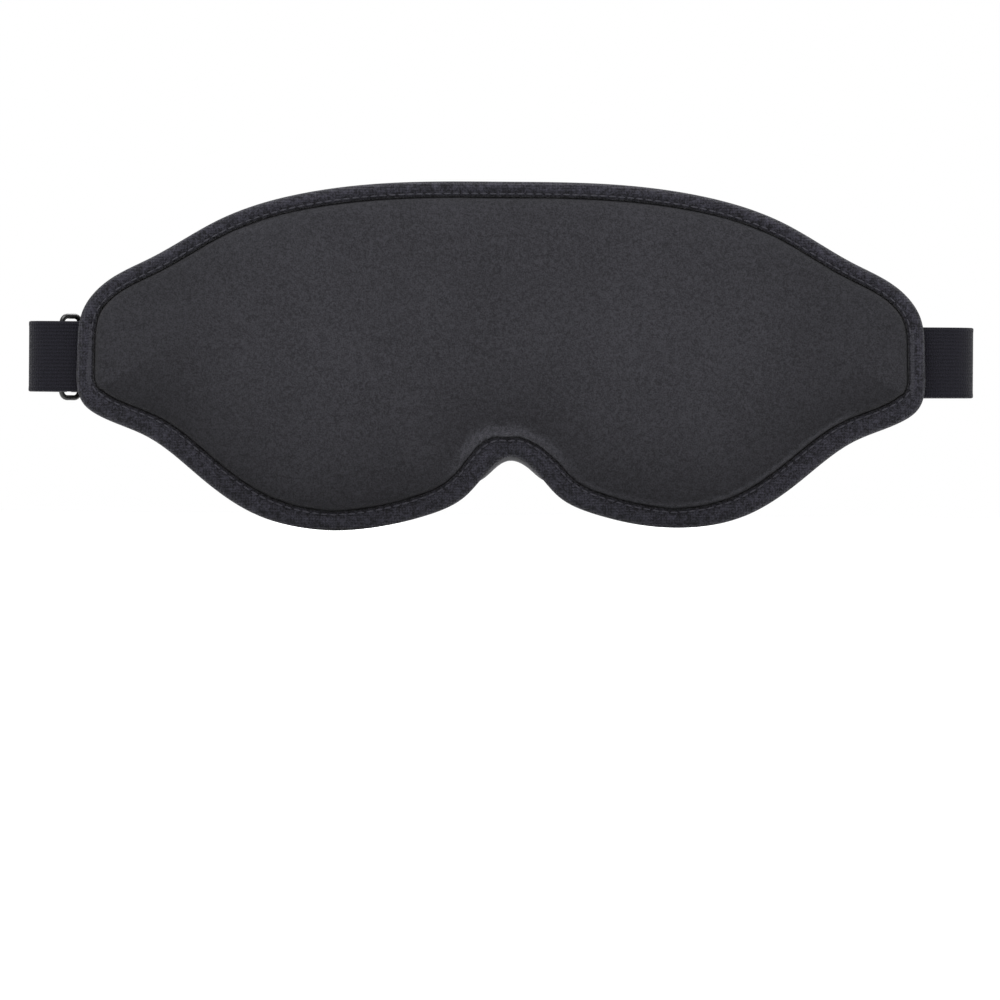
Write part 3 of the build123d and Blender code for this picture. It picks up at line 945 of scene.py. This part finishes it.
run_angle = 40.0
cos_run, sin_run = math.cos(math.radians(run_angle)), math.sin(math.radians(run_angle))
stub_x = half + 14.0 - strap_t / 2
fold_r = 4.5
bight_r = 2.3
tab_bight_r = 1.35
layer_gap = 0.05
band_off = bight_r - tab_bight_r
band_fold_r = fold_r + band_off / (1 + cos_run - sin_run)
back_r = 82.0
ring_at, ring_far, slider_at = 8.0, 14.5, 58.0
run_x = -(stub_x - fold_r + fold_r * sin_run)
run_y = y_strap + fold_r + fold_r * cos_run
loop_r = 1.3
loop_n = band_off - strap_t / 2 - 0.3 - strap_t / 2 - 2 * loop_r
loop_end = slider_at - 8.5


def on_run(t, n):
    """A point by its distance along the ring-side run and its distance out from it."""
    return (run_x + t * cos_run - n * sin_run, run_y + t * sin_run + n * cos_run)


def strap_root(side):
    """The sewn end and the first half of the fold."""
    radius = band_fold_r if side > 0 else fold_r
    straight = stub_x - radius - (half - 4.5)
    path = track((half - 4.5, y_strap), 0, [("go", straight), ("turn", radius, 90)], 0.5)
    if side < 0:
        path = path * (-1, 1)
    name = "strap_root_right" if side > 0 else "strap_root_left"
    obj = ribbon(name, path, ELASTIC)
    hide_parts("strap_end_right" if side > 0 else "strap_end_left")
    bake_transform(obj)
    return obj


for which in (-1, 1):
    strap_root(which)

side_run = (stub_x - band_fold_r + (band_fold_r - back_r) * sin_run) / cos_run
band_path = track(
    (stub_x, y_strap + band_fold_r),
    90,
    [("turn", band_fold_r, 90 - run_angle), ("go", side_run), ("turn", back_r, 2 * run_angle)],
)
tail = np.array(band_path[-1])
reach = np.linalg.norm(tail - np.array(on_run(ring_far, band_off)))
band_path = np.vstack(
    [band_path, track(tail, 180 + run_angle, [("go", reach), ("turn", bight_r, 180)])[1:]]
)
band = ribbon("strap_loop", band_path, ELASTIC)
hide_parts("strap_band")
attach(band, "strap")


def slope(path_end, to, steps=10):
    """An S-shaped drop between two points on the run, given as (along, out)."""
    (t0, n0), (t1, n1) = path_end, to
    return [(t0 + (t1 - t0) * k / steps, n0 + (n1 - n0) * smooth(k / steps)) for k in range(1, steps + 1)]


def tab():
    path = track((-stub_x, y_strap + fold_r), 90, [("turn", fold_r, run_angle - 90), ("go", ring_at)], 0.5)
    bend = track(path[-1], run_angle, [("turn", tab_bight_r, -180)], 0.3)[1:]
    under = -strap_t - layer_gap
    low = slope((ring_at, -2 * tab_bight_r), (2.8, under)) + [(1.5, under), (0.2, under)]
    return ribbon("ring_tab", np.vstack([path, bend, [on_run(*p) for p in low]]), ELASTIC)


ring_tab = tab()
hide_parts("strap_tab")
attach(ring_tab, "strap")


def return_layer():
    a, b = np.array(on_run(ring_far, band_off - 2 * bight_r)), np.array(on_run(loop_end, loop_n))
    path = np.array([a + (b - a) * k / 50 for k in range(51)])
    obj = ribbon("strap_return_layer", path, ELASTIC)
    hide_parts("strap_return")
    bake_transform(obj)
    return obj


return_layer()


def slider_end():
    start = np.array([on_run(t, loop_n) for t in np.linspace(loop_end, slider_at, 16)])
    bend = track(start[-1], run_angle, [("turn", loop_r, 180)], 0.3)[1:]
    over = loop_n + strap_t + layer_gap
    top = slope((slider_at, loop_n + 2 * loop_r), (loop_end + 2.8, over))
    top += [(loop_end + 1.4, over), (loop_end, over)]
    return ribbon("slider_end_loop", np.vstack([start, bend, [on_run(*p) for p in top]]), ELASTIC)


end_loop = slider_end()
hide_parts("slider_loop")
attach(end_loop, "slider")


def tack(name, lines, node, body, spacing=0.42, length=1.0, turn=(0, math.radians(90), 0)):
    obj = sew(name, lines, spacing, (0.2, 0.24, length), turn, False)
    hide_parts(node)
    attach(obj, body)
    return obj


def upright(x, y):
    """An upright line of points for a sewn column."""
    return [(x, y, z) for z in np.linspace(-9.0, 9.0, 12)]


for which, node in ((-1, "bar_tack_left"), (1, "bar_tack_right")):
    low, high = size_of(node)
    x = (low[0] + high[0]) / 2
    rows = [upright(x, strap_high[1] + 0.05), upright(x, y_front_tape - 0.12)]
    tack("tack_right" if which > 0 else "tack_left", rows, node, "mask")

tab_rows = [
    upright(*on_run(1.5, strap_t / 2 + 0.02)),
    upright(*on_run(1.5, -1.5 * strap_t - 0.07)),
]
tack("ring_tab_tack", tab_rows, "tab_bar_tack", "strap")
end_rows = [
    upright(*on_run(loop_end + 1.3, loop_n - strap_t / 2 - 0.02)),
    upright(*on_run(loop_end + 1.3, loop_n + 1.5 * strap_t + 0.07)),
]
tack("slider_end_tack", end_rows, "slider_bar_tack", "slider")


def finish_node(node, material):
    """A better material on a CAD node that keeps its shape."""
    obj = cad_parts[node]
    if not obj.material_slots:
        obj.data.materials.append(None)
    for each in obj.material_slots:
        each.link = "OBJECT"
        each.material = material


finish_node("tab_ring", WIRE)
finish_node("strap_slider", SLIDER)


# ---------------------------------------------------------------- nose flap


fold_z = size_of("nose_flap")[0][2]


def pad_surface(x, z):
    depth, _ = depth_inside(np.c_[x, z], OUTLINE)
    return np.maximum(pad_height(x, z, depth), y_lining + 0.12)


def flap_top(x):
    """The free edge: a shallow arch whose corners tuck under the tape."""
    rise, drop, reach = 12.9, 14.0, 74.0
    return fold_z + rise - drop * (np.abs(x) / reach) ** 1.55


def flap():
    """The free part: an arched top edge that stands off in the middle, and a curled lower edge."""
    across, up, reach = 170, 26, 69.0
    x = np.linspace(-reach, reach, across)
    top = flap_top(x)
    notch = OUTLINE[(np.abs(OUTLINE[:, 0]) < 30) & (OUTLINE[:, 1] < 0)]
    notch = notch[notch[:, 0].argsort()]
    low = np.maximum(fold_z, np.interp(x, notch[:, 0], notch[:, 1]) + 0.9)
    low = np.where(np.abs(x) > 24, fold_z, low)
    low = np.convolve(np.pad(low, 3, "edge"), np.ones(7) / 7, "valid")
    low = np.minimum(low, top - 0.15)
    stand = 3.6 * bell(x, 24) + 0.9
    over_pad = smooth((np.abs(x) - 12) / 10)
    verts = []
    for s in np.linspace(0, 1, up):
        z = low + (top - low) * s
        ground = pad_surface(x, np.maximum(z, fold_z + 0.5))
        ground = ground * over_pad + (1 - over_pad) * -0.6
        belly = math.sin(math.pi * min(1.0, 0.15 + s * 0.72))
        sag = 0.22 * np.sin(x * 0.32 + s * 2.4) * math.sin(math.pi * s)
        crease = -0.5 * bell(s - 0.55 - 0.003 * x, 0.10) * bell(x, 46)
        verts.append(np.c_[x, ground + 0.5 + stand * (0.4 + 0.6 * belly) + sag + crease, z])
    curl = []
    start = verts[0]
    radius = 0.25 + 1.15 * bell(x, 40, 4)
    for a in np.linspace(math.radians(230), 0, 11, endpoint=False):
        curl.append(np.c_[x, start[:, 1] - radius * (1 - np.cos(a)), start[:, 2] - radius * np.sin(a)])
    grid = np.array(curl + verts)
    up_share = np.r_[np.zeros(len(curl)), np.linspace(0, 1, up)][:, None]
    middle = bell(x, 34)[None, :]
    # Painted light and shade: lighter towards the middle, a painted highlight along the curled lip and the
    # top edge, painted shade along the crease.
    shade = 0.9 + 0.14 * middle + 0.35 * middle * bell(up_share - 0.03, 0.08)
    shade = shade + 0.5 * middle**2 * (up_share > 0.97) - 0.12 * bell(up_share - 0.55, 0.12) * middle
    faces = grid_faces(len(grid), across)
    obj = piece("nose_flap_sheet", grid.reshape(-1, 3), faces, SATIN, shade=shade.ravel())
    return obj, grid


flap_sheet, flap_grid = flap()
thick = flap_sheet.modifiers.new("cloth", "SOLIDIFY")
thick.thickness, thick.offset = 0.0005, 0.0
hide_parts("nose_flap")
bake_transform(flap_sheet)


def ridge(x, z, path, high, wide):
    """A soft raised roll along a line of points."""
    path = np.array(path, float)
    shares = np.linspace(0, 1, 24)[:, None]
    fine = np.vstack([a + (b - a) * shares for a, b in zip(path, path[1:])])
    away = np.sqrt(((x[:, None] - fine[:, 0]) ** 2 + (z[:, None] - fine[:, 1]) ** 2).min(1))
    return high * bell(away, wide)


# The soft rolls on each lobe: the line of the raised roll, its height and width, then the furrow's.
FOLD_ROLLS = {
    1: (
        ([(10, -34.6), (24, -35.0), (33, -36.2), (38.8, -38.2), (38.2, -40.2), (32, -41.0)], 1.6, 1.05),
        ([(14, -36.9), (25, -37.4), (33.5, -38.8)], 1.0, 1.0),
    ),
    -1: (
        ([(16, -34.6), (37, -35.0), (43.6, -36.4), (43.2, -38.2)], 1.2, 0.9),
        ([(20, -36.4), (36, -36.8), (41, -38.0)], 0.8, 0.9),
    ),
}


def flap_foot(side):
    """The lens of flap fabric sewn flat on one lobe, with the roll its fold leaves, down to the tape."""
    raised, furrow = FOLD_ROLLS[side]
    inner = inset_outline(4.3)
    across, up = 150, 34
    x = np.linspace(12.0, 76.5, across)
    edge = inner[(inner[:, 1] < -15) & (inner[:, 0] > 5)]
    edge = edge[edge[:, 0].argsort()]
    low = np.interp(x, edge[:, 0], edge[:, 1])
    top = np.minimum(fold_z + 0.9, flap_top(x) + 0.4)
    top = np.maximum(top, low + 0.06)
    verts, tones = [], []
    for s in np.linspace(0, 1, up):
        z = low + (top - low) * s
        roll = ridge(x, z, *raised) - ridge(x, z, *furrow)
        calm = smooth((s + 0.02) * 6)
        y = pad_surface(x, z) + 0.3 + roll * calm + 0.08 * np.sin(x * 0.7 + 4 * s)
        verts.append(np.c_[side * x, y, z])
        # Painted highlight on the raised roll, painted shade along the lower seam and under the fold.
        crease = 0.55 * bell(z - low, 0.7) + 0.35 * bell(z - fold_z + 0.5, 0.6)
        tones.append(0.88 + 0.30 * roll - crease)
    grid = np.array(verts)
    name = "flap_foot_right" if side > 0 else "flap_foot_left"
    tones = np.clip(np.ravel(tones), 0.15, 2)
    obj = piece(name, grid.reshape(-1, 3), grid_faces(up, across), SATIN, shade=tones)
    body = obj.modifiers.new("cloth", "SOLIDIFY")
    body.thickness, body.offset = 0.0004, 0.0
    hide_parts("nose_flap_base_right" if side > 0 else "nose_flap_base_left")
    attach(obj, "mask")
    return obj


for which in (-1, 1):
    flap_foot(which)


# ---------------------------------------------------------------- floor, light and camera


def floor():
    """A wide disc of pale paper."""
    look = Look("floor_paper", 0.9, 0.0, 0.2)
    grain = look.noise(look.place(), 60.0, 2.0, 0.5)
    look.colour(look.mix(grain, (0.94, 0.94, 0.94, 1), (0.96, 0.96, 0.96, 1)))
    look.skin.inputs["Emission Color"].default_value = (1, 1, 1, 1)
    look.skin.inputs["Emission Strength"].default_value = 0.09
    z, reach = body_low[2] - 0.9, 3600.0
    turns = np.linspace(0, 2 * math.pi, 96, endpoint=False)
    verts = [(reach * math.cos(a), reach * math.sin(a), z) for a in turns]
    obj = piece("floor", verts, [tuple(range(96))], look.material)


floor()


def lamp(name, place, aim, size, power):
    light = bpy.data.lights.new(name, "AREA")
    light.shape, light.size, light.size_y = "RECTANGLE", size[0], size[1]
    light.energy = power
    obj = bpy.data.objects.new(name, light)
    obj.location = place
    obj.rotation_euler = (Vector(aim) - Vector(place)).to_track_quat("-Z", "Y").to_euler()
    bpy.context.collection.objects.link(obj)


lamp("key_above", (-0.12, -0.42, 0.78), (0, 0, 0), (0.8, 0.4), 10.0)
lamp("edge_right", (0.95, -0.5, 0.1), (0, 0, 0), (0.5, 0.7), 2.5)
lamp("back_above", (0.08, 0.5, 0.78), (0, 0.05, 0), (0.8, 0.4), 10.0)

world = bpy.data.worlds.new("studio")
world.use_nodes = True
world.node_tree.nodes["Background"].inputs["Color"].default_value = (1, 1, 1, 1)
world.node_tree.nodes["Background"].inputs["Strength"].default_value = 1.0
bpy.context.scene.world = world
bpy.context.scene.view_settings.view_transform = "Standard"

camera_data = bpy.data.cameras.new("camera")
camera_data.lens = 420.0
camera_data.sensor_width = 36.0
camera = bpy.data.objects.new("camera", camera_data)
frame_width = 0.2827
distance = frame_width * camera_data.lens / camera_data.sensor_width
look_at = Vector((0.0, y_panel * MM, -0.0398))
camera.location = look_at + Vector((0, -distance, 0.0))
camera.rotation_euler = (math.radians(90), math.radians(-0.42), 0)
bpy.context.collection.objects.link(camera)
bpy.context.scene.camera = camera
